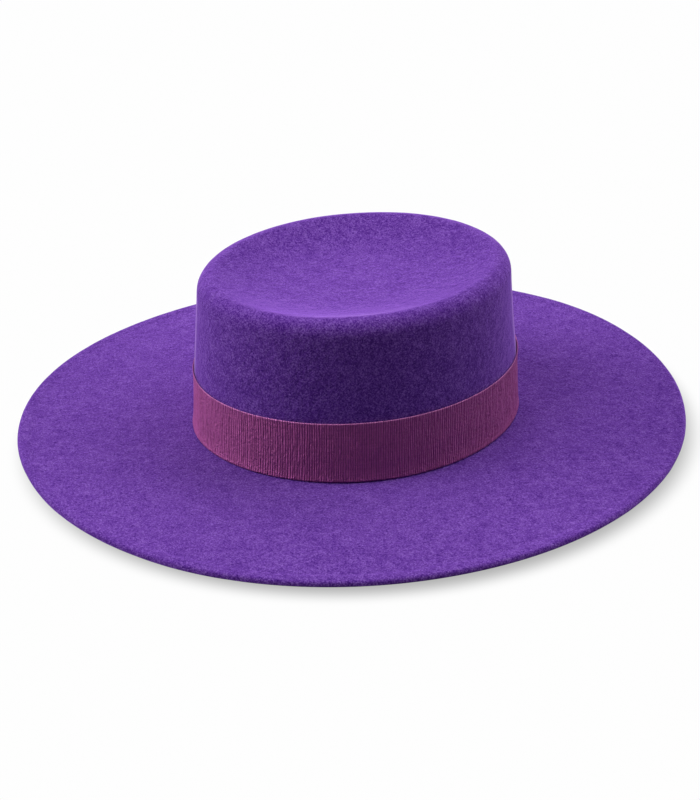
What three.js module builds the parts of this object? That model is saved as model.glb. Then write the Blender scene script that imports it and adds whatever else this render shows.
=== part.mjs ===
// Cordobes hat: a straight low crown with a hollowed top and a wide flat brim, in one piece of felt,
// and a grosgrain ribbon round the foot of the crown, closed with a lapped seam.
// Millimetres, +Z up. The origin lies on the surface that the hat rests on, under the middle of the
// brim. The length runs along Y, with the front at -Y, and the width runs along X.
import * as THREE from 'three';

// Felt: one wall everywhere
const feltThickness = 3;

// Crown
const headLength = 196;       // inside the foot of the crown, front to back
const headWidth = 165.6;      // inside the foot of the crown, side to side
const crownFullness = 1.95;   // exponent of the oval at the foot; 2 is an ellipse
const crestFullness = 2;      // the same at the crest
const crownHeight = 99;       // from the brim to the crest round the top
const wallLean = 3.7;         // degrees that the wall leans in on its way up
const backFlare = 2.1;        // reach of the foot past the oval at the back, fading above the ribbon
const footRadius = 1.5;       // outside rounding between the wall and the brim
const crestRadius = 10;       // outside rounding between the wall and the top
const crestRise = 4.6;        // the crest is this much higher at the back than at the front
const dishDepth = 11.5;       // from the crest down to the middle of the hollow top

// Brim
const brimWidthSide = 100.8;  // from the foot of the crown to the rim, at either side
const brimWidthEnd = 104.8;   // the same at the front and at the back
const brimFullness = 2.015;   // exponent of the rim's oval
const brimFall = 0.7;         // drop of the brim from the foot of the crown to the rim
const rimRiseFront = 2.8;     // lift of the rim at the front, above the surface that it rests on
const rimRiseBack = 4.6;      // the same at the back
const rimTaper = 5.5;         // width over which the upper face rounds down to the rim's edge
const rimTaperDrop = 1.4;     // how far it comes down on the way
const rimRounding = 1;        // rounding of the rim's lower corner
const landWidth = 2;          // flat under the rim, on which the hat rests at either side

// Ribbon
const ribbonWidth = 37.6;
const ribbonThickness = 1;
const ribbonClearance = 0.3;  // between the ribbon and the felt wall
const ribbonLift = 1;         // from the brim to the ribbon's lower edge
const lapLength = 12;         // overlap of the two ends, at the right side
const lapStepLength = 0.5;    // length over which each step of the overlap rises

// Shares that shape the forms, chosen by hand
const restShare = 0.3;        // part of the half-length, to either side of X, where the rim lies flat
const riseSkew = 0.9;         // the rim's lift is larger by this share on the right, smaller on the left
const dishPower = 3.2;        // a higher power makes the floor of the hollow top flatter
const crestPower = 1.2;       // a higher power makes the inner slope meet the crest more softly
const dishRings = [0.18, 0.34, 0.48, 0.61, 0.73, 0.83, 0.91, 0.97];  // from the middle to the crest
const wallRings = [0.2, 0.45, 0.72];            // up the wall, foot to crest
const brimRings = [0.12, 0.3, 0.52, 0.74, 0.9]; // across the brim, foot to rim
const ribbonRings = [0, 0.35, 0.7, 1];          // up the ribbon
const columns = 64;           // round the hat

const lean = THREE.MathUtils.degToRad(wallLean);
const wallHalfWidth = headWidth / 2 + feltThickness;
const wallHalfLength = headLength / 2 + feltThickness;
const rimHalfWidth = wallHalfWidth + brimWidthSide;
const rimHalfLength = wallHalfLength + brimWidthEnd;
const crownExtraLength = wallHalfLength - wallHalfWidth;
const rimExtraLength = rimHalfLength - rimHalfWidth;
const footHeight = feltThickness + brimFall;
const crestHeight = footHeight + crownHeight;
const ribbonTopShare = (ribbonLift + ribbonWidth * Math.cos(lean)) / crownHeight;
const quarterTurn = Math.PI / 2;

// The section is drawn at the right-hand side of the hat, as distances across from the middle.
// Outside of the wall at a height.
function wallAcross(height) {
  return wallHalfWidth - Math.tan(lean) * (height - footHeight);
}

// Centre of the rounding between the wall and the top, shared by both faces of the felt.
const crest = { height: crestHeight - crestRadius };
crest.across = wallAcross(crest.height + crestRadius * Math.sin(lean)) - crestRadius * Math.cos(lean);

// Centre of the rounding between the wall and the brim, shared by both faces of the felt.
const foot = { height: footHeight + footRadius };
foot.across = wallAcross(foot.height - footRadius * Math.sin(lean)) + footRadius * Math.cos(lean);

// Rows of the section. A row is one ring of the hat: its distance across and its height at the side,
// and the share of the crown's extra length that it takes.
function ring(across, height, lengthShare = 1) {
  return { across, height, lengthShare };
}

function arcRings(centre, radius, from, to, steps, heightRadius = radius) {
  const rings = [];
  for (let i = 0; i <= steps; i += 1) {
    const angle = from + (to - from) * i / steps;
    const across = centre.across + radius * Math.cos(angle);
    rings.push(ring(across, centre.height + heightRadius * Math.sin(angle)));
  }
  return rings;
}

// Hollow top: level in the middle, steeper outwards, and level again where it meets the crest.
function dishRingsAt(shares, depthOfFace) {
  return shares.map((share) => {
    const hollow = dishDepth * (1 - share ** dishPower) ** crestPower;
    return ring(share * crest.across, crestHeight - hollow - depthOfFace, share);
  });
}

function wallRingsAt(shares, inset) {
  const low = foot.height;
  const high = crest.height;
  return shares.map((share) => {
    const height = low + (high - low) * share;
    return ring(wallAcross(height) - inset / Math.cos(lean), height);
  });
}

function brimRingsAt(shares, depthOfFace) {
  return shares.map((share) => {
    const across = wallHalfWidth + brimWidthSide * share;
    return ring(across, footHeight - brimFall * share - depthOfFace);
  });
}

// The whole section, from the middle of the top down the outside, round the rim and back up inside.
function feltSection() {
  const downwards = (shares) => [...shares].reverse();
  const taper = { across: rimHalfWidth - rimTaper, height: feltThickness - rimTaperDrop };
  const corner = { across: rimHalfWidth - rimRounding, height: rimRounding };
  return [
    ...dishRingsAt([0, ...dishRings], 0),
    ...arcRings(crest, crestRadius, quarterTurn, lean, 6),
    ...wallRingsAt(downwards(wallRings), 0),
    ...arcRings(foot, footRadius, Math.PI + lean, 3 * quarterTurn, 3),
    ...brimRingsAt(brimRings, 0),
    ...arcRings(taper, rimTaper, quarterTurn, 0, 5, rimTaperDrop),
    ...arcRings(corner, rimRounding, 0, -quarterTurn, 3),
    ring(corner.across - landWidth, 0),
    ...brimRingsAt(downwards(brimRings), feltThickness),
    ...arcRings(foot, footRadius + feltThickness, 3 * quarterTurn, Math.PI + lean, 4),
    ...wallRingsAt(wallRings, feltThickness),
    ...arcRings(crest, crestRadius - feltThickness, lean, quarterTurn, 4),
    ...dishRingsAt(downwards([0, ...dishRings]), feltThickness),
  ];
}

// Place of one point of a ring in the hat. The ring is an oval, longer than wide, that changes from
// the crown's form to the rim's. The crest slopes up to the back, the crown reaches out at the back
// from the ribbon down, and the rim lifts towards its ends from where it rests at the sides.
function hatPoint(row, angle) {
  const out = THREE.MathUtils.clamp((row.across - wallHalfWidth) / brimWidthSide, 0, 1);
  const up = THREE.MathUtils.clamp((row.height - footHeight) / crownHeight, 0, 1);
  const extraLength = THREE.MathUtils.lerp(crownExtraLength * row.lengthShare, rimExtraLength, out);
  const fullnessUp = THREE.MathUtils.lerp(crownFullness, crestFullness, up);
  const fullness = THREE.MathUtils.lerp(fullnessUp, brimFullness, out);
  const halfLength = row.across + extraLength;
  if (row.across === 0) {
    return [0, 0, row.height];
  }
  const cos = Math.cos(angle);
  const sin = Math.sin(angle);
  const inverse = Math.abs(cos / row.across) ** fullness + Math.abs(sin / halfLength) ** fullness;
  const radius = inverse ** (-1 / fullness);
  const x = radius * cos;
  const y = radius * sin;
  const towardsBack = Math.max(y / halfLength, 0);
  const aboveRibbon = THREE.MathUtils.clamp((up - ribbonTopShare) / (1 - ribbonTopShare), 0, 1);
  const reach = backFlare * (1 - aboveRibbon) ** 2 * (1 - out) * towardsBack ** 3;
  const towardsEnd = Math.max((Math.abs(sin) - restShare) / (1 - restShare), 0);
  const rise = (y > 0 ? rimRiseBack : rimRiseFront) * (1 - riseSkew * cos);
  const lift = rise * towardsEnd ** 2 * out ** 2;
  const slope = up * crestRise / 2 * (y + reach) / wallHalfLength;
  return [x, y + reach, row.height + slope + lift];
}

// Closed solid from rings of points. The outside of the first ring faces up and the last one closes
// onto it, or each of the two is a single point on the axis.
function ringSolid(rings) {
  const positions = [];
  const starts = rings.map((points) => {
    const start = positions.length / 3;
    points.forEach((point) => positions.push(...point));
    return start;
  });
  const endsOnAxis = rings[0].length === 1;
  const spans = endsOnAxis ? rings.length - 1 : rings.length;
  const indices = [];
  for (let i = 0; i < spans; i += 1) {
    const next = (i + 1) % rings.length;
    const count = Math.max(rings[i].length, rings[next].length);
    const at = (ringIndex, column) => starts[ringIndex] + column % rings[ringIndex].length;
    for (let j = 0; j < count; j += 1) {
      if (rings[next].length > 1) {
        indices.push(at(i, j), at(next, j), at(next, j + 1));
      }
      if (rings[i].length > 1) {
        indices.push(at(i, j), at(next, j + 1), at(i, j + 1));
      }
    }
  }
  const geometry = new THREE.BufferGeometry();
  geometry.setAttribute('position', new THREE.Float32BufferAttribute(positions, 3));
  geometry.setIndex(indices);
  geometry.computeVertexNormals();
  return geometry;
}

function fullTurn() {
  return Array.from({ length: columns }, (_, i) => 2 * Math.PI * i / columns);
}

function feltGeometry() {
  const rings = feltSection().map((row) => {
    const angles = row.across === 0 ? [0] : fullTurn();
    return angles.map((angle) => hatPoint(row, angle));
  });
  return ringSolid(rings);
}

// The ribbon's ends overlap at the right side, where the band is two ribbons thick.
function ribbonGeometry() {
  const middle = Math.PI;
  const lapHalfAngle = lapLength / 2 / wallHalfWidth;
  const slopeAngle = lapStepLength / wallHalfWidth;
  const lapAngles = [
    { angle: middle - lapHalfAngle - slopeAngle, layers: 1 },
    { angle: middle - lapHalfAngle, layers: 2 },
    { angle: middle + lapHalfAngle, layers: 2 },
    { angle: middle + lapHalfAngle + slopeAngle, layers: 1 },
  ];
  const clearOfLap = lapHalfAngle + 2 * slopeAngle;
  const plainAngles = fullTurn()
    .filter((angle) => Math.abs(angle - middle) > clearOfLap)
    .map((angle) => ({ angle, layers: 1 }));
  const around = [...plainAngles, ...lapAngles].sort((one, other) => one.angle - other.angle);

  const faceRing = (share, isOuter) => {
    const height = footHeight + ribbonLift + share * ribbonWidth * Math.cos(lean);
    return around.map(({ angle, layers }) => {
      const offset = ribbonClearance + (isOuter ? layers * ribbonThickness : 0);
      return hatPoint(ring(wallAcross(height) + offset / Math.cos(lean), height), angle);
    });
  };
  const outer = [...ribbonRings].reverse().map((share) => faceRing(share, true));
  const inner = ribbonRings.map((share) => faceRing(share, false));
  return ringSolid([...outer, ...inner]);
}

function makeFeltBody() {
  const material = new THREE.MeshStandardMaterial({ color: 0x6a3fa6, roughness: 0.95, metalness: 0 });
  const mesh = new THREE.Mesh(feltGeometry(), material);
  mesh.name = 'felt_body';
  return mesh;
}

function makeRibbonBand() {
  const material = new THREE.MeshStandardMaterial({ color: 0x7b2f6d, roughness: 0.6, metalness: 0 });
  const mesh = new THREE.Mesh(ribbonGeometry(), material);
  mesh.name = 'ribbon_band';
  return mesh;
}

const hat = new THREE.Group();
hat.add(makeFeltBody(), makeRibbonBand());

export default hat;
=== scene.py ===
from math import cos, pi, radians, sin, tan

import bpy
import numpy as np
from mathutils import Matrix, Vector


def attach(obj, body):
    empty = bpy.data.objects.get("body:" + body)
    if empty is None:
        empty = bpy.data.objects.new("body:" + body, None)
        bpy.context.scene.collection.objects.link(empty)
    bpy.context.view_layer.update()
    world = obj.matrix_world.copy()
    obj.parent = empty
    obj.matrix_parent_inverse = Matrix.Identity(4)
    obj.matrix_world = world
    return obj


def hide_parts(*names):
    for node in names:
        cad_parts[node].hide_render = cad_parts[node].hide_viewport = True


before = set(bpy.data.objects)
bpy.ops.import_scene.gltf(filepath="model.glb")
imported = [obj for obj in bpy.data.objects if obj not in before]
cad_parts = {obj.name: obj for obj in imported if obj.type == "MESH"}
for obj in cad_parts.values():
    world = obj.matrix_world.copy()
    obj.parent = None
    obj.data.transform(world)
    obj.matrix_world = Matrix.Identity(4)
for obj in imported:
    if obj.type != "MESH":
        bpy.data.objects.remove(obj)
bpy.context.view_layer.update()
print("hat: the frame is loaded")

scene = bpy.context.scene

# The camera stands where the photograph was taken from. aim is how far the middle of the picture
# lies to the right of the hat's origin and above it, measured in the picture's own plane.
view = {
    "azimuth": 67.27,
    "elevation": 28.36,
    "distance": 1.2,
    "aimRight": -0.00298,
    "aimUp": 0.00933,
    "pixelsPerMetre": 1626,   # at the origin's distance
    "pictureHeight": 800,
    "sensorHeight": 36,
}


def makeCamera():
    azimuth, elevation = radians(view["azimuth"]), radians(view["elevation"])
    back = Vector((sin(azimuth) * cos(elevation), -cos(azimuth) * cos(elevation), sin(elevation)))
    right = Vector((cos(azimuth), sin(azimuth), 0))
    up = back.cross(right)
    data = bpy.data.cameras.new("photo_camera")
    data.sensor_width = view["sensorHeight"]
    data.lens = view["pixelsPerMetre"] * view["distance"] / view["pictureHeight"] * view["sensorHeight"]
    data.clip_start = 0.05
    camera = bpy.data.objects.new("photo_camera", data)
    turn = Matrix((right, up, back)).transposed().to_4x4()
    place = right * view["aimRight"] + up * view["aimUp"] + back * view["distance"]
    camera.matrix_world = Matrix.Translation(place) @ turn
    scene.collection.objects.link(camera)
    scene.camera = camera


makeCamera()
print("hat: the camera is in place")


# Shapes shared by the felt and the ribbon

def softNoise(points, cellSize, seed):
    # Random numbers sit at the corners of cubes. Inside a cube they are blended with weights that
    # rise as 3t^2 - 2t^3 along each axis, so the result runs smoothly between -1 and 1.
    side = 48
    lattice = np.random.default_rng(seed).uniform(-1, 1, (side, side, side))
    scaled = points / cellSize
    low = np.floor(scaled).astype(int)
    part = scaled - low
    part = part * part * (3 - 2 * part)
    total = np.zeros(points.shape[:-1])
    for corner in np.ndindex(2, 2, 2):
        at = (low + corner) % side
        weight = np.prod(np.where(corner, part, 1 - part), axis=-1)
        total += weight * lattice[at[..., 0], at[..., 1], at[..., 2]]
    return total


def ringNormals(points):
    # Outward normal of a grid of rings: the step to the next ring crossed with the step to the
    # next column.
    alongRows = np.gradient(points, axis=0)
    alongColumns = np.roll(points, -1, axis=1) - np.roll(points, 1, axis=1)
    normals = np.cross(alongRows, alongColumns)
    length = np.linalg.norm(normals, axis=-1, keepdims=True)
    return normals / np.maximum(length, 1e-12)


def facesBetween(startA, countA, startB, countB):
    # Faces that join ring A to ring B, which follows it. Equal rings are joined by squares, a ring
    # to one with half or twice as many points by three triangles for each wide step, and a ring to
    # a single point by a fan.
    steps = min(countA, countB)
    k = np.arange(steps)
    if countA == countB:
        after = (k + 1) % countA
        return [np.stack([startA + k, startB + k, startB + after, startA + after], axis=1)]
    if steps == 1:
        k = np.arange(max(countA, countB))
        after = (k + 1) % k.size
        if countA == 1:
            return [np.stack([np.full(k.size, startA), startB + k, startB + after], axis=1)]
        return [np.stack([startA + k, np.full(k.size, startB), startA + after], axis=1)]
    after = (k + 1) % steps
    if countA > countB:
        first, middle, last = startA + 2 * k, startA + 2 * k + 1, startA + (2 * k + 2) % countA
        one, other = startB + k, startB + after
        return [np.stack(face, axis=1) for face in
                ((first, one, middle), (middle, one, other), (middle, other, last))]
    first, middle, last = startB + 2 * k, startB + 2 * k + 1, startB + (2 * k + 2) % countB
    one, other = startA + k, startA + after
    return [np.stack(face, axis=1) for face in
            ((one, first, middle), (one, middle, other), (other, middle, last))]


def meshFromRings(name, rings, closes=False, attributes=None):
    # rings is a list of arrays of points, from the first ring to the last.
    counts = [len(ring) for ring in rings]
    starts = np.concatenate([[0], np.cumsum(counts)]).astype(int)
    faces = []
    spans = len(rings) if closes else len(rings) - 1
    for i in range(spans):
        j = (i + 1) % len(rings)
        faces += facesBetween(starts[i], counts[i], starts[j], counts[j])
    sizes = np.concatenate([np.full(len(group), group.shape[1]) for group in faces])
    corners = np.concatenate([group.ravel() for group in faces])
    mesh = bpy.data.meshes.new(name)
    mesh.vertices.add(int(starts[-1]))
    mesh.vertices.foreach_set("co", np.concatenate(rings).astype(np.float32).ravel())
    mesh.loops.add(len(corners))
    mesh.loops.foreach_set("vertex_index", corners.astype(np.int32))
    mesh.polygons.add(len(sizes))
    mesh.polygons.foreach_set("loop_start", np.concatenate([[0], np.cumsum(sizes)[:-1]]).astype(np.int32))
    mesh.polygons.foreach_set("use_smooth", np.ones(len(sizes), bool))
    mesh.update(calc_edges=True)
    mesh.validate()
    for label, values in (attributes or {}).items():
        layer = mesh.attributes.new(label, "FLOAT", "POINT")
        layer.data.foreach_set("value", values.astype(np.float32).ravel())
    piece = bpy.data.objects.new(name, mesh)
    scene.collection.objects.link(piece)
    return piece


# Felt body: one felt, blocked into a straight crown with a hollowed top and a wide flat brim
felt = {
    "thickness": 0.003,
    "headLength": 0.196,
    "headWidth": 0.1656,
    "crownFullness": 1.95,
    "crestFullness": 2,
    "crownHeight": 0.099,
    "wallLean": radians(3.7),
    "backFlare": 0.0025,
    "frontTuck": 0.0012,     # the ribbon draws the front of the crown in by this much
    "footRadius": 0.0015,
    "crestRadius": 0.010,
    "crestRise": 0.0046,
    "dishDepth": 0.0115,
    "dishPower": 3.2,
    "crestPower": 1.2,
    "brimWidthSide": 0.1008,
    "brimWidthEnd": 0.1048,
    "brimFullness": 2.015,
    "brimFall": 0.0007,
    "rimRiseFront": 0.0028,
    "rimRiseBack": 0.0046,
    "riseSkew": 0.9,
    "restShare": 0.3,
    "rimTaper": 0.0022,
    "rimTaperDrop": 0.0024,
    "rimRounding": 0.0009,
    "rimBead": 0.00030,      # the brim's upper face swells up by this much before it tapers
    "beadStart": 0.917,      # share of the brim's width where the swell starts
    "beadSpan": 0.03,        # share of the brim's width over which it rises
    "landWidth": 0.002,
    "crownColumns": 384,
    "unevenness": 0.00018,   # slow swells of the blocked felt
    "unevenSize": 0.036,
    "pebble": 0.00005,       # close bumps of the felted wool
    "pebbleSize": 0.0062,
    "restHeight": 0.0004,    # the rim stays smooth below this height, where the hat rests
}
# Grosgrain ribbon: fine upright ribs, a rounded selvedge above and below, and a lapped seam
ribbon = {
    "width": 0.0376,
    "thickness": 0.0007,
    "clearance": 0.0001,
    "lift": 0.001,
    "lapLength": 0.012,
    "lapStep": 0.0005,       # length over which the free end steps down
    "lapFade": 0.004,        # length over which the covered end fades out
    "ribs": 400,
    "columnsPerRib": 8,
    "ribHeight": 0.00034,
    "ribUnevenness": 0.1,    # share by which ribs differ in width and height
    "ribLean": 0.00006,      # how much further one side of a rib may stand out than the other
    "ribWander": 0.00025,
    "wanderSize": 0.0016,    # how far apart two wanders are, and eight times that up the rib
    "grooveShadeSoftness": 0.36,  # the lower, the wider the painted shade of a groove spreads
    "selvedgeWidth": 0.0006,
    "selvedgeFilling": 0.4,  # share by which the grooves are shallower at the selvedge
    "scallop": 0.00012,
    "footFlare": 0.0004,     # how far the lower edge stands out from the crown
    "footShare": 0.22,       # share of the width that the flare takes up
    "topFlare": 0.0005,      # how far the upper edge stands off the felt
    "topShare": 0.30,
    "topUneven": 0.35,       # it stands off more at the back and less at the front by this share
}


footHeight = felt["thickness"] + felt["brimFall"]
crestHeight = footHeight + felt["crownHeight"]
wallHalfWidth = felt["headWidth"] / 2 + felt["thickness"]
wallHalfLength = felt["headLength"] / 2 + felt["thickness"]
crownExtraLength = wallHalfLength - wallHalfWidth
rimHalfWidth = wallHalfWidth + felt["brimWidthSide"]
rimHalfLength = wallHalfLength + felt["brimWidthEnd"]
rimExtraLength = rimHalfLength - rimHalfWidth
ribbonTopShare = (ribbon["lift"] + ribbon["width"] * cos(felt["wallLean"])) / felt["crownHeight"]


def wallAcross(height):
    return wallHalfWidth - tan(felt["wallLean"]) * (height - footHeight)


def hatPoints(across, height, lengthShare, angle):
    # A ring is the oval |x/across|^n + |y/(across + extra)|^n = 1 in polar form. The extra length
    # and n run from the crown's to the rim's. Below the ribbon's upper edge the crown reaches back
    # by flare * (y/length)^3, which fades above it with (1 - t)^2. Its front is drawn in by
    # tuck * (-y/length)^3 * (1 - u^2), where u is the height up the ribbon. The crest slopes up to
    # the back, and the rim lifts with the square of the way from where it rests to its front or
    # back end.
    across, height, lengthShare, angle = np.broadcast_arrays(across, height, lengthShare, angle)
    out = np.clip((across - wallHalfWidth) / felt["brimWidthSide"], 0, 1)
    up = np.clip((height - footHeight) / felt["crownHeight"], 0, 1)
    extra = crownExtraLength * lengthShare * (1 - out) + rimExtraLength * out
    n = felt["crownFullness"] + (felt["crestFullness"] - felt["crownFullness"]) * up
    n = n + (felt["brimFullness"] - n) * out
    halfWidth = np.maximum(across, 1e-9)
    halfLength = halfWidth + extra
    ray = (np.abs(np.cos(angle) / halfWidth) ** n + np.abs(np.sin(angle) / halfLength) ** n) ** (-1 / n)
    x = ray * np.cos(angle)
    y = ray * np.sin(angle)
    aboveRibbon = np.clip((up - ribbonTopShare) / (1 - ribbonTopShare), 0, 1)
    atBack = np.clip(y / halfLength, 0, 1) ** 3
    reach = felt["backFlare"] * (1 - aboveRibbon) ** 2 * (1 - out) * atBack
    upRibbon = np.clip(up / ribbonTopShare, 0, 1)
    atFront = np.clip(-y / halfLength, 0, 1) ** 3
    reach = reach + felt["frontTuck"] * (1 - upRibbon ** 2) * (1 - out) * atFront
    towardsEnd = np.clip((np.abs(np.sin(angle)) - felt["restShare"]) / (1 - felt["restShare"]), 0, 1)
    rise = np.where(y > 0, felt["rimRiseBack"], felt["rimRiseFront"])
    rise = rise * (1 - felt["riseSkew"] * np.cos(angle))
    lift = rise * (towardsEnd * out) ** 2
    slope = up * felt["crestRise"] / 2 * (y + reach) / wallHalfLength
    return np.stack([x, y + reach, height + slope + lift], axis=-1)


def arcRows(centre, radius, start, end, steps, heightRadius=None):
    turn = np.linspace(start, end, steps + 1)
    height = centre[1] + (heightRadius or radius) * np.sin(turn)
    return centre[0] + radius * np.cos(turn), height, np.ones(steps + 1)


def dishRows(share, depthOfFace, crestAcross):
    # The hollow top: its depth is dishDepth * (1 - share^dishPower)^crestPower, so it is level in
    # the middle and at the crest.
    hollow = felt["dishDepth"] * (1 - share ** felt["dishPower"]) ** felt["crestPower"]
    return share * crestAcross, crestHeight - hollow - depthOfFace, share


def feltRings():
    thickness = felt["thickness"]
    lean = felt["wallLean"]
    crestCentre = crestHeight - felt["crestRadius"]
    tangent = crestCentre + felt["crestRadius"] * sin(lean)
    crest = (wallAcross(tangent) - felt["crestRadius"] * cos(lean), crestCentre)
    footCentre = footHeight + felt["footRadius"]
    footTangent = footCentre - felt["footRadius"] * sin(lean)
    foot = (wallAcross(footTangent) + felt["footRadius"] * cos(lean), footCentre)
    edge = rimHalfWidth - felt["rimRounding"]
    taper = (rimHalfWidth - felt["rimTaper"], thickness + felt["rimBead"] - felt["rimTaperDrop"])

    def wallRows(steps, inset, upwards):
        height = np.linspace(footCentre, crestCentre, steps + 2)[1:-1]
        height = height if upwards else height[::-1]
        return wallAcross(height) - inset / cos(lean), height, np.ones(steps)

    def brimRows(start, end, steps, depthOfFace):
        # The upper face swells by the bead before it tapers, as 3t^2 - 2t^3 over the bead's span.
        share = np.linspace(start, end, steps)
        t = np.clip((share - felt["beadStart"]) / felt["beadSpan"], 0, 1) if depthOfFace == 0 else 0
        bead = felt["rimBead"] * t * t * (3 - 2 * t)
        height = footHeight - felt["brimFall"] * share - depthOfFace + bead
        return wallHalfWidth + felt["brimWidthSide"] * share, height, np.ones(steps)

    # Each stretch of the section is its rows and how many points its rings have, as a multiple of
    # the crown's columns.
    stretches = [
        (dishRows(np.zeros(1), 0, crest[0]), 0),
        (dishRows(np.linspace(0.03, 0.12, 4), 0, crest[0]), 1 / 8),
        (dishRows(np.linspace(0.15, 0.36, 7), 0, crest[0]), 1 / 4),
        (dishRows(np.linspace(0.39, 0.72, 12), 0, crest[0]), 1 / 2),
        (dishRows(np.linspace(0.75, 0.98, 10), 0, crest[0]), 1),
        (arcRows(crest, felt["crestRadius"], pi / 2, lean, 12), 1),
        (wallRows(38, 0, False), 1),
        (arcRows(foot, felt["footRadius"], pi + lean, 1.5 * pi, 4), 1),
        (brimRows(0.04, 0.46, 20, 0), 1),
        (brimRows(0.48, 0.90, 20, 0), 2),
        (brimRows(0.91, 0.972, 12, 0), 2),
        (arcRows(taper, felt["rimTaper"], pi / 2, 0, 12, felt["rimTaperDrop"]), 2),
        (arcRows((edge, felt["rimRounding"]), felt["rimRounding"], 0, -pi / 2, 5), 2),
        ((np.array([edge - felt["landWidth"]]), np.zeros(1), np.ones(1)), 2),
        (brimRows(0.94, 0.06, 34, thickness), 1),
        (arcRows(foot, felt["footRadius"] + thickness, 1.5 * pi, pi + lean, 8), 1),
        (wallRows(30, thickness, True), 1),
        (arcRows(crest, felt["crestRadius"] - thickness, lean, pi / 2, 8), 1),
        (dishRows(np.linspace(0.97, 0.73, 7), thickness, crest[0]), 1),
        (dishRows(np.linspace(0.69, 0.38, 8), thickness, crest[0]), 1 / 2),
        (dishRows(np.linspace(0.34, 0.15, 5), thickness, crest[0]), 1 / 4),
        (dishRows(np.linspace(0.11, 0.03, 3), thickness, crest[0]), 1 / 8),
        (dishRows(np.zeros(1), thickness, crest[0]), 0),
    ]
    across = np.concatenate([rows[0] for rows, _ in stretches])
    height = np.concatenate([rows[1] for rows, _ in stretches])
    lengthShare = np.concatenate([rows[2] for rows, _ in stretches])
    fineness = np.concatenate([np.full(len(rows[0]), fine) for rows, fine in stretches])

    widest = 2 * felt["crownColumns"]
    angle = 2 * pi * np.arange(widest) / widest
    points = hatPoints(across[:, None], height[:, None], lengthShare[:, None], angle[None, :])
    normals = ringNormals(points)
    normals[0], normals[-1] = (0, 0, 1), (0, 0, -1)
    swell = felt["unevenness"] * softNoise(points, felt["unevenSize"], 4)
    swell += felt["pebble"] * softNoise(points, felt["pebbleSize"], 5)
    rests = (points[..., 2] < felt["restHeight"]) & (across[:, None] > edge - 2 * felt["landWidth"])
    points = points + normals * np.where(rests, 0, swell)[..., None]
    rings = []
    for row, fine in zip(points, fineness):
        rings.append(row[:: int(2 / fine)] if fine else row[:1] * [0, 0, 1])
    # The hollow fades out over the last tenth before the crest.
    inHollow = np.clip((1 - lengthShare) / 0.1, 0, 1)
    hollow = np.concatenate([np.full(len(ring), value) for ring, value in zip(rings, inHollow)])
    return rings, {"hollow": hollow}


rings, marks = feltRings()
feltHat = meshFromRings("felt_hat", rings, attributes=marks)
print("hat: the felt has", len(feltHat.data.polygons), "faces")


def ribbonSection():
    # Rows from the upper edge down the outside, round the lower edge and up the inside: the share
    # of the ribbon's width, and the share of its thickness.
    corner = np.linspace(0, pi / 2, 4)
    edgeShare = ribbon["thickness"] / 2 / ribbon["width"]
    upper = 1 - edgeShare * (1 - np.cos(corner[::-1])), 0.5 + 0.5 * np.sin(corner)
    selvedge = np.array([1 - 1.2 * edgeShare * 2, 1 - 2 * edgeShare * 2, 1 - 3 * edgeShare * 2])
    middle = np.linspace(0.86, 0.14, 7)
    share = np.concatenate([upper[0], selvedge, middle, 1 - selvedge[::-1], 1 - upper[0][::-1]])
    flat = np.ones(2 * len(selvedge) + len(middle))
    depth = np.concatenate([upper[1], flat, upper[1][::-1]])
    inside = np.array([0.02, 0.35, 0.7, 0.98])
    return np.concatenate([share, inside]), np.concatenate([depth, np.zeros(4)])


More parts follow.
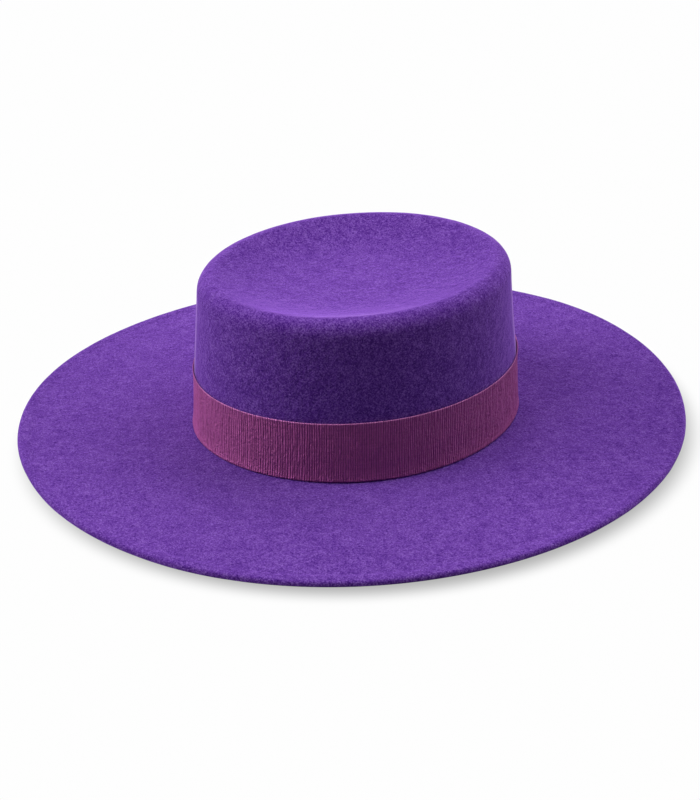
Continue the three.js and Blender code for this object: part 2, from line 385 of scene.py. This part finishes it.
def ribbonRings():
    share, depth = ribbonSection()
    lean = felt["wallLean"]

    # Ribs: threads side by side, sqrt(1 - 0.98 t^2) high between two grooves at t = -1 and 1, of
    # slightly uneven width and height. Each leans to one side and wanders on its way down.
    columns = ribbon["ribs"] * ribbon["columnsPerRib"]
    number = np.arange(columns) // ribbon["columnsPerRib"]
    phase = np.arange(columns) % ribbon["columnsPerRib"] / ribbon["columnsPerRib"]
    random = np.random.default_rng(11)
    uneven = ribbon["ribUnevenness"]
    width = random.uniform(1 - uneven, 1 + uneven, ribbon["ribs"])
    start = np.concatenate([[0], np.cumsum(width)])
    angle = 2 * pi * (start[number] + phase * width[number]) / start[-1]
    height = random.uniform(1 - uneven, 1 + uneven, ribbon["ribs"])[number]
    roundness = np.sqrt(np.clip(1 - (2 * phase - 1) ** 2 * 0.98, 0, 1))
    leaning = random.uniform(-1, 1, ribbon["ribs"])[number]
    rib = ribbon["ribHeight"] * height * (roundness - 1) + ribbon["ribLean"] * leaning * (phase - 0.5)

    # The seam lies at the right side, where the angle is half a turn. Along the wall it takes the
    # second layer up at the free end in one step and lets it fade at the other end.
    along = (angle - pi) * wallHalfWidth
    half = ribbon["lapLength"] / 2
    rise = np.clip((along + half + ribbon["lapStep"]) / ribbon["lapStep"], 0, 1)
    fade = np.clip((half + ribbon["lapFade"] - along) / ribbon["lapFade"], 0, 1)
    layers = 1 + rise * fade * fade * (3 - 2 * fade)

    level = footHeight + ribbon["lift"] + share[:, None] * ribbon["width"] * cos(lean)
    nearEdge = np.minimum(share, 1 - share)[:, None] * ribbon["width"] / ribbon["selvedgeWidth"]
    selvedge = np.exp(-nearEdge ** 2)
    isOuter = (depth > 0)[:, None]
    offset = ribbon["clearance"] + layers * ribbon["thickness"] * depth[:, None]
    shallower = 1 - ribbon["selvedgeFilling"] * selvedge
    offset = offset + np.where(isOuter, rib * depth[:, None] * shallower, 0)
    low = np.clip(1 - share / ribbon["footShare"], 0, 1)[:, None]
    offset = offset + ribbon["footFlare"] * low ** 2
    high = np.clip(1 - (1 - share) / ribbon["topShare"], 0, 1)[:, None]
    offset = offset + ribbon["topFlare"] * high ** 2 * (1 + ribbon["topUneven"] * np.sin(angle))
    towardsEdge = np.where(share > 0.5, 1, -1)[:, None] * np.exp(-(nearEdge / 0.5) ** 2)
    level = level + ribbon["scallop"] * (roundness - 1) * towardsEdge
    points = hatPoints(wallAcross(level) + offset / cos(lean), level, 1.0, angle[None, :])
    wander = softNoise(points * [1, 1, 0.12], ribbon["wanderSize"], 12) * ribbon["ribWander"]
    sideways = np.stack([-np.sin(angle), np.cos(angle), np.zeros(columns)], axis=-1)
    points = points + sideways[None] * (wander * isOuter)[..., None]

    shade = random.uniform(-1, 1, ribbon["ribs"])[number]
    ribShade = np.broadcast_to(shade, points.shape[:2])
    # The groove mark carries the painted shade: near 1 in a groove and 0 on top of a rib.
    grooveShade = np.broadcast_to((1 - roundness) ** ribbon["grooveShadeSoftness"], points.shape[:2])
    edge = np.broadcast_to(np.where(share > 0.5, 1, 0)[:, None] * selvedge, points.shape[:2])
    # The foot mark carries the painted bounce light at the lower edge.
    foot = np.broadcast_to(low * low * (3 - 2 * low), points.shape[:2])
    return list(points), {"ribShade": ribShade, "grooveShade": grooveShade, "selvedge": edge, "foot": foot}


def ribbonFlatLength():
    # Way round the hat at the middle of the ribbon, with the lap.
    level = footHeight + ribbon["lift"] + ribbon["width"] / 2
    ring = hatPoints(wallAcross(level) + ribbon["clearance"], level, 1.0, np.linspace(0, 2 * pi, 721))
    return np.linalg.norm(np.diff(ring, axis=0), axis=1).sum() + ribbon["lapLength"]


ribbonLength = float(ribbonFlatLength())
rings, marks = ribbonRings()
ribbonBand = meshFromRings("grosgrain_ribbon", rings, closes=True, attributes=marks)
print("hat: the ribbon has", len(ribbonBand.data.polygons), "faces")


# Materials

def addNode(tree, kind, inputs=None, **settings):
    node = tree.nodes.new(kind)
    for name, value in settings.items():
        setattr(node, name, value)
    for name, value in (inputs or {}).items():
        node.inputs[name].default_value = value
    return node


def addMath(tree, operation, first, second=None, third=None, clamp=False):
    node = addNode(tree, "ShaderNodeMath", operation=operation, use_clamp=clamp)
    for socket, value in zip(node.inputs, (first, second, third)):
        if isinstance(value, bpy.types.NodeSocket):
            tree.links.new(value, socket)
        elif value is not None:
            socket.default_value = value
    return node.outputs[0]


def addMix(tree, factor, first, second):
    node = addNode(tree, "ShaderNodeMix", data_type="RGBA")
    for socket, value in ((node.inputs[0], factor), (node.inputs[6], first), (node.inputs[7], second)):
        if isinstance(value, bpy.types.NodeSocket):
            tree.links.new(value, socket)
        else:
            socket.default_value = value
    return node.outputs[2]


def newMaterial(name):
    material = bpy.data.materials.new(name)
    material.use_nodes = True
    tree = material.node_tree
    tree.nodes.clear()
    output = addNode(tree, "ShaderNodeOutputMaterial")
    shader = addNode(tree, "ShaderNodeBsdfPrincipled")
    tree.links.new(shader.outputs[0], output.inputs[0])
    return material, tree, shader


# Wool group: clouds, curly fibres and light flecks, worked out from the place on the hat. Tone has
# a middle near 0, and height is the relief of the matted wool.
woolScales = {
    "Cloud Scale": 125,    # the widest clouds are about as many to the metre
    "Relief Scale": 210,
    "Hair Scale": 1100,
    "Fibre Scale": 620,
    "Fleck Scale": 230,
}
wool = {
    "cloudSpread": 7,        # how much each pattern moves the tone
    "hairSpread": 12,
    "strandSpread": 1.2,
    "strandMiddle": 0.3,     # taken off again, so that the strands don't lift the middle
    "palest": 2,             # no tone is above this
    "strandFineness": 11,
    "strandHeight": 0.03,
    "fleckRadius": 0.11,     # share of a cell
    "fleckRarity": 0.88,     # share of the cells that have no fleck
}


def makeWoolGroup():
    tree = bpy.data.node_groups.new("wool_texture", "ShaderNodeTree")
    face = tree.interface
    face.new_socket("Place", in_out="INPUT", socket_type="NodeSocketVector")
    for name, value in woolScales.items():
        face.new_socket(name, in_out="INPUT", socket_type="NodeSocketFloat").default_value = value
    for name in ("Tone", "Fleck", "Height"):
        face.new_socket(name, in_out="OUTPUT", socket_type="NodeSocketFloat")
    start = addNode(tree, "NodeGroupInput")
    end = addNode(tree, "NodeGroupOutput")

    def placed(kind, scaleName, inputs):
        node = addNode(tree, kind, inputs)
        tree.links.new(start.outputs["Place"], node.inputs["Vector"])
        tree.links.new(start.outputs[scaleName], node.inputs["Scale"])
        return node

    cloud = placed("ShaderNodeTexNoise", "Cloud Scale", {"Detail": 4.0, "Roughness": 0.95})
    relief = placed("ShaderNodeTexNoise", "Relief Scale",
                    {"Detail": 2.5, "Roughness": 0.66, "Distortion": 0.3})
    hair = placed("ShaderNodeTexNoise", "Hair Scale",
                  {"Detail": 1.0, "Roughness": 0.6, "Distortion": 0.8})
    fibre = placed("ShaderNodeTexNoise", "Fibre Scale",
                   {"Detail": 1.0, "Roughness": 0.5, "Distortion": 2.4})
    fleck = placed("ShaderNodeTexVoronoi", "Fleck Scale", {"Randomness": 1.0})

    # A fibre shows where its noise crosses the middle value.
    offset = addMath(tree, "ABSOLUTE", addMath(tree, "SUBTRACT", fibre.outputs[0], 0.5))
    thinned = addMath(tree, "MULTIPLY", offset, wool["strandFineness"])
    strand = addMath(tree, "SUBTRACT", 1, thinned, clamp=True)
    # Tone: each noise less its middle value, times its spread, and the strands on top.
    tone = addMath(tree, "MULTIPLY_ADD", cloud.outputs[0], wool["cloudSpread"], -wool["cloudSpread"] / 2)
    hairOffset = addMath(tree, "SUBTRACT", hair.outputs[0], 0.5)
    tone = addMath(tree, "MULTIPLY_ADD", hairOffset, wool["hairSpread"], tone)
    tone = addMath(tree, "SUBTRACT", tone, wool["strandMiddle"])
    tone = addMath(tree, "MULTIPLY_ADD", strand, wool["strandSpread"], tone)
    tone = addMath(tree, "MINIMUM", tone, wool["palest"])
    # A fleck is the middle of a cell, in the few cells whose own colour has a bright red.
    spot = addMath(tree, "LESS_THAN", fleck.outputs["Distance"], wool["fleckRadius"])
    chance = addNode(tree, "ShaderNodeSeparateColor")
    tree.links.new(fleck.outputs["Color"], chance.inputs[0])
    rare = addMath(tree, "GREATER_THAN", chance.outputs[0], wool["fleckRarity"])
    height = addMath(tree, "MULTIPLY_ADD", strand, wool["strandHeight"], relief.outputs[0])

    tree.links.new(tone, end.inputs["Tone"])
    tree.links.new(addMath(tree, "MULTIPLY", spot, rare), end.inputs["Fleck"])
    tree.links.new(height, end.inputs["Height"])
    return tree


woolGroup = makeWoolGroup()

feltFinish = {
    "colour": (0.069, 0.0210, 0.179, 1),
    "toneBase": (1.39, 1.70, 1.235),   # red, green and blue
    "fleckColour": (0.26, 0.15, 0.48, 1),
    "fleckShare": 0.4,
    # Painted sheen, partly real fuzz: the fuzz colour is mixed in where the felt is seen edge on.
    "fuzzSheenColour": (0.50, 0.34, 0.62, 1),
    "fuzzSheenShare": 0.8,
    "fuzzSheenStart": 0.84,        # 0 face on, 1 edge on
    "hollowSheen": 0.35,        # share of the painted fuzz sheen that shows in the hollow top
    "roughness": 1.0,
    "sheen": 0.68,
    "sheenRoughness": 0.45,
    "sheenTint": (0.51, 0.225, 1.0, 1),
    "bump": 1.0,
    "bumpDistance": 0.0008,
}


def makeFeltMaterial():
    material, tree, shader = newMaterial("violet_felt")
    texture = addNode(tree, "ShaderNodeGroup", node_tree=woolGroup)
    for name, value in woolScales.items():
        texture.inputs[name].default_value = value
    tree.links.new(addNode(tree, "ShaderNodeTexCoord").outputs["Object"], texture.inputs["Place"])

    # The red, green and blue of the colour are each multiplied by their own toneBase to the power
    # of the tone, so that light wool is paler and dark wool is deeper.
    bright = addNode(tree, "ShaderNodeCombineColor")
    for channel, base in enumerate(feltFinish["toneBase"]):
        tree.links.new(addMath(tree, "POWER", base, texture.outputs["Tone"]), bright.inputs[channel])
    toned = addNode(tree, "ShaderNodeVectorMath", {0: feltFinish["colour"][:3]}, operation="MULTIPLY")
    tree.links.new(bright.outputs[0], toned.inputs[1])
    flecks = addMath(tree, "MULTIPLY", texture.outputs["Fleck"], feltFinish["fleckShare"])
    flecked = addMix(tree, flecks, toned.outputs[0], feltFinish["fleckColour"])
    # Partly fuzz, partly painted sheen: where the felt is seen edge on, its colour turns paler, to the
    # colour of its loose fuzz, and this pale rim stands in for the sheen of the fuzz.
    facing = addNode(tree, "ShaderNodeLayerWeight", {"Blend": 0.5}).outputs["Facing"]
    fuzzSheen = addNode(tree, "ShaderNodeMapRange", {"From Min": feltFinish["fuzzSheenStart"], "From Max": 1,
                                                "To Max": feltFinish["fuzzSheenShare"]},
                   interpolation_type="SMOOTHSTEP")
    tree.links.new(facing, fuzzSheen.inputs["Value"])
    # In the hollow top only part of the painted fuzz sheen shows.
    inHollow = addNode(tree, "ShaderNodeAttribute", attribute_name="hollow").outputs["Fac"]
    sheenShown = addMath(tree, "MULTIPLY_ADD", inHollow, feltFinish["hollowSheen"] - 1, 1)
    tree.links.new(addMix(tree, addMath(tree, "MULTIPLY", fuzzSheen.outputs[0], sheenShown), flecked,
                          feltFinish["fuzzSheenColour"]), shader.inputs["Base Color"])

    bump = addNode(tree, "ShaderNodeBump", {"Strength": feltFinish["bump"],
                                            "Distance": feltFinish["bumpDistance"]})
    tree.links.new(texture.outputs["Height"], bump.inputs["Height"])
    tree.links.new(bump.outputs[0], shader.inputs["Normal"])
    shader.inputs["Roughness"].default_value = feltFinish["roughness"]
    shader.inputs["Specular IOR Level"].default_value = 0
    shader.inputs["Sheen Weight"].default_value = feltFinish["sheen"]
    shader.inputs["Sheen Roughness"].default_value = feltFinish["sheenRoughness"]
    shader.inputs["Sheen Tint"].default_value = feltFinish["sheenTint"]
    return material


# Weave group: upright streaks, level streaks and mottling of the ribbon's threads, each with a
# middle of 0. An upright streak is noise drawn out to eight times its width, and a level one is
# noise pressed flat to a fourteenth of its height.
weaveScales = {
    "Streak Scale": 900,
    "Level Scale": 60,
    "Mottle Scale": 620,
}


def makeWeaveGroup():
    tree = bpy.data.node_groups.new("weave_texture", "ShaderNodeTree")
    face = tree.interface
    face.new_socket("Place", in_out="INPUT", socket_type="NodeSocketVector")
    for name, value in weaveScales.items():
        face.new_socket(name, in_out="INPUT", socket_type="NodeSocketFloat").default_value = value
    for name in ("Streak", "Level", "Mottle"):
        face.new_socket(name, in_out="OUTPUT", socket_type="NodeSocketFloat")
    start = addNode(tree, "NodeGroupInput")
    end = addNode(tree, "NodeGroupOutput")
    patterns = (("Streak", (1, 1, 0.12), 1.5), ("Level", (1, 1, 14), 1.5), ("Mottle", (1, 1, 1), 3.0))
    for name, stretch, detail in patterns:
        stretched = addNode(tree, "ShaderNodeVectorMath", {1: stretch}, operation="MULTIPLY")
        tree.links.new(start.outputs["Place"], stretched.inputs[0])
        noise = addNode(tree, "ShaderNodeTexNoise", {"Detail": detail, "Roughness": 0.6})
        tree.links.new(stretched.outputs[0], noise.inputs["Vector"])
        tree.links.new(start.outputs[name + " Scale"], noise.inputs["Scale"])
        tree.links.new(addMath(tree, "SUBTRACT", noise.outputs[0], 0.5), end.inputs[name])
    return tree


weaveGroup = makeWeaveGroup()

ribbonFinish = {
    "colour": (0.285, 0.061, 0.193, 1),
    # painted shade in the grooves between the ribs
    "grooveShadeColour": (0.008, 0.002, 0.006, 1),
    "edgeColour": (0.78, 0.26, 0.62, 1),
    "edgeShare": 0.7,
    "shadeSpread": 0.05,
    "streakSpread": 0.35,
    "levelSpread": 0.5,
    "mottleSpread": 0.5,
    "footBounceLight": 0.2,         # painted light: how much lighter the lower edge is, for the light that the brim throws up onto it
    "bumpDistance": 0.0009,
    "roughness": 0.5,
    "gloss": 1.0,
    "glossTint": (1.0, 0.3, 0.9, 1),
    "sheen": 0.1,
    "sheenRoughness": 0.35,
    "sheenTint": (0.85, 0.2, 0.95, 1),
}


def makeRibbonMaterial():
    material, tree, shader = newMaterial("plum_grosgrain")
    weave = addNode(tree, "ShaderNodeGroup", node_tree=weaveGroup)
    for name, value in weaveScales.items():
        weave.inputs[name].default_value = value
    tree.links.new(addNode(tree, "ShaderNodeTexCoord").outputs["Object"], weave.inputs["Place"])

    def mark(name):
        return addNode(tree, "ShaderNodeAttribute", attribute_name=name).outputs["Fac"]

    # Painted shade in the grooves: they are darkened towards the groove shade colour, less where the
    # ribbon is seen edge on, as the threads hide the grooves between them there.
    facing = addNode(tree, "ShaderNodeLayerWeight", {"Blend": 0.5}).outputs["Facing"]
    opened = addMath(tree, "POWER", addMath(tree, "SUBTRACT", 1, facing), 2)
    colour = addMix(tree, addMath(tree, "MULTIPLY", mark("grooveShade"), opened),
                    ribbonFinish["colour"], ribbonFinish["grooveShadeColour"])
    bright = addMath(tree, "MULTIPLY_ADD", mark("ribShade"), ribbonFinish["shadeSpread"], 1)
    # Painted light: the lower edge is made lighter for the light that the brim throws up onto it.
    bright = addMath(tree, "MULTIPLY_ADD", mark("foot"), ribbonFinish["footBounceLight"], bright)
    bright = addMath(tree, "MULTIPLY_ADD", weave.outputs["Streak"], ribbonFinish["streakSpread"], bright)
    bright = addMath(tree, "MULTIPLY_ADD", weave.outputs["Level"], ribbonFinish["levelSpread"], bright)
    bright = addMath(tree, "MULTIPLY_ADD", weave.outputs["Mottle"], ribbonFinish["mottleSpread"], bright)
    tinted = addNode(tree, "ShaderNodeHueSaturation")
    tree.links.new(colour, tinted.inputs["Color"])
    tree.links.new(bright, tinted.inputs["Value"])
    edge = addMath(tree, "MULTIPLY", mark("selvedge"), ribbonFinish["edgeShare"])
    tree.links.new(addMix(tree, edge, tinted.outputs[0], ribbonFinish["edgeColour"]),
                   shader.inputs["Base Color"])

    bump = addNode(tree, "ShaderNodeBump", {"Distance": ribbonFinish["bumpDistance"]})
    tree.links.new(addMath(tree, "ADD", weave.outputs["Streak"], weave.outputs["Mottle"]),
                   bump.inputs["Height"])
    tree.links.new(bump.outputs[0], shader.inputs["Normal"])
    shader.inputs["Roughness"].default_value = ribbonFinish["roughness"]
    shader.inputs["Specular IOR Level"].default_value = ribbonFinish["gloss"]
    shader.inputs["Specular Tint"].default_value = ribbonFinish["glossTint"]
    shader.inputs["Sheen Weight"].default_value = ribbonFinish["sheen"]
    shader.inputs["Sheen Roughness"].default_value = ribbonFinish["sheenRoughness"]
    shader.inputs["Sheen Tint"].default_value = ribbonFinish["sheenTint"]
    return material


feltHat.data.materials.append(makeFeltMaterial())
ribbonBand.data.materials.append(makeRibbonMaterial())
print("hat: the materials are made")

for piece, node, slotName in ((feltHat, "felt_body", "felt"), (ribbonBand, "ribbon_band", "ribbon")):
    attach(piece, "root")
    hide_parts(node)


# Floor and light
studio = {
    "floorSize": 12,
    "floorSeen": 0.99,
    "floorBounce": 0.33,
    "shadeDepth": 0.54,       # how dark the soft shade is under the brim
    "shadeStart": 0.925,      # the shade fades between these two shares of the rim's size
    "shadeEnd": 1.0525,
    "shadeShift": (0.0105, 0.0001),
    "lightSize": 1.4,
    "lightDistance": 2.6,
    "lights": [
        # name, azimuth round the hat, elevation, watts
        ("right_back_light", 187, 58, 42),
        ("back_light", 247, 58, 28),
        ("left_back_light", 7, 58, 41),
        ("low_right_light", 157, 24, 26),
        ("low_left_light", 337, 24, 60),
    ],
}


def makeFloor():
    half = studio["floorSize"] / 2
    mesh = bpy.data.meshes.new("floor")
    mesh.from_pydata([(-half, -half, 0), (half, -half, 0), (half, half, 0), (-half, half, 0)], [],
                     [(0, 1, 2, 3)])
    floor = bpy.data.objects.new("floor", mesh)
    scene.collection.objects.link(floor)
    material, tree, shader = newMaterial("pale_floor")

    # The soft shade: the place is shifted and divided by the rim's half-width and half-length, so
    # its length is 1 on the rim and grows outwards. The camera sees the shade painted on a bright
    # floor, and every other ray meets a plain grey one.
    shift = studio["shadeShift"]
    place = (-shift[0] / rimHalfWidth, -shift[1] / rimHalfLength, 0)
    spot = addNode(tree, "ShaderNodeMapping", {"Location": place,
                                               "Scale": (1 / rimHalfWidth, 1 / rimHalfLength, 0)})
    tree.links.new(addNode(tree, "ShaderNodeTexCoord").outputs["Object"], spot.inputs["Vector"])
    length = addNode(tree, "ShaderNodeVectorMath", operation="LENGTH")
    tree.links.new(spot.outputs[0], length.inputs[0])
    darkest = studio["floorSeen"] * (1 - studio["shadeDepth"])
    fade = addNode(tree, "ShaderNodeMapRange", {"From Min": studio["shadeStart"],
                                                "From Max": studio["shadeEnd"],
                                                "To Min": darkest, "To Max": studio["floorSeen"]},
                   interpolation_type="SMOOTHERSTEP")
    tree.links.new(length.outputs["Value"], fade.inputs["Value"])
    seen = addNode(tree, "ShaderNodeLightPath").outputs["Is Camera Ray"]
    bounce = studio["floorBounce"]
    grey = addMix(tree, seen, (bounce, bounce, bounce, 1), (0, 0, 0, 1))
    tree.links.new(grey, shader.inputs["Base Color"])
    tree.links.new(addMix(tree, seen, (0, 0, 0, 1), fade.outputs[0]), shader.inputs["Emission Color"])
    shader.inputs["Emission Strength"].default_value = 1
    shader.inputs["Roughness"].default_value = 1
    shader.inputs["Specular IOR Level"].default_value = 0
    mesh.materials.append(material)


def makeLight(name, azimuth, elevation, watts):
    azimuth, elevation = radians(azimuth), radians(elevation)
    towards = Vector((sin(azimuth) * cos(elevation), -cos(azimuth) * cos(elevation), sin(elevation)))
    data = bpy.data.lights.new(name, "AREA")
    data.shape = "SQUARE"
    data.size = studio["lightSize"]
    data.energy = watts
    light = bpy.data.objects.new(name, data)
    light.location = towards * studio["lightDistance"]
    light.rotation_euler = towards.to_track_quat("Z", "Y").to_euler()
    scene.collection.objects.link(light)


def makeWorld():
    world = bpy.data.worlds.new("white_studio")
    world.use_nodes = True
    tree = world.node_tree
    tree.nodes.clear()
    output = addNode(tree, "ShaderNodeOutputWorld")
    glow = addNode(tree, "ShaderNodeBackground")
    seen = addNode(tree, "ShaderNodeLightPath").outputs["Is Camera Ray"]
    white = studio["floorSeen"]
    tree.links.new(addMix(tree, seen, (0, 0, 0, 1), (white, white, white, 1)), glow.inputs[0])
    tree.links.new(glow.outputs[0], output.inputs[0])
    scene.world = world


makeFloor()
for lightRow in studio["lights"]:
    makeLight(*lightRow)
makeWorld()
scene.view_settings.view_transform = "Standard"
print("hat: the floor and the lights are in place")
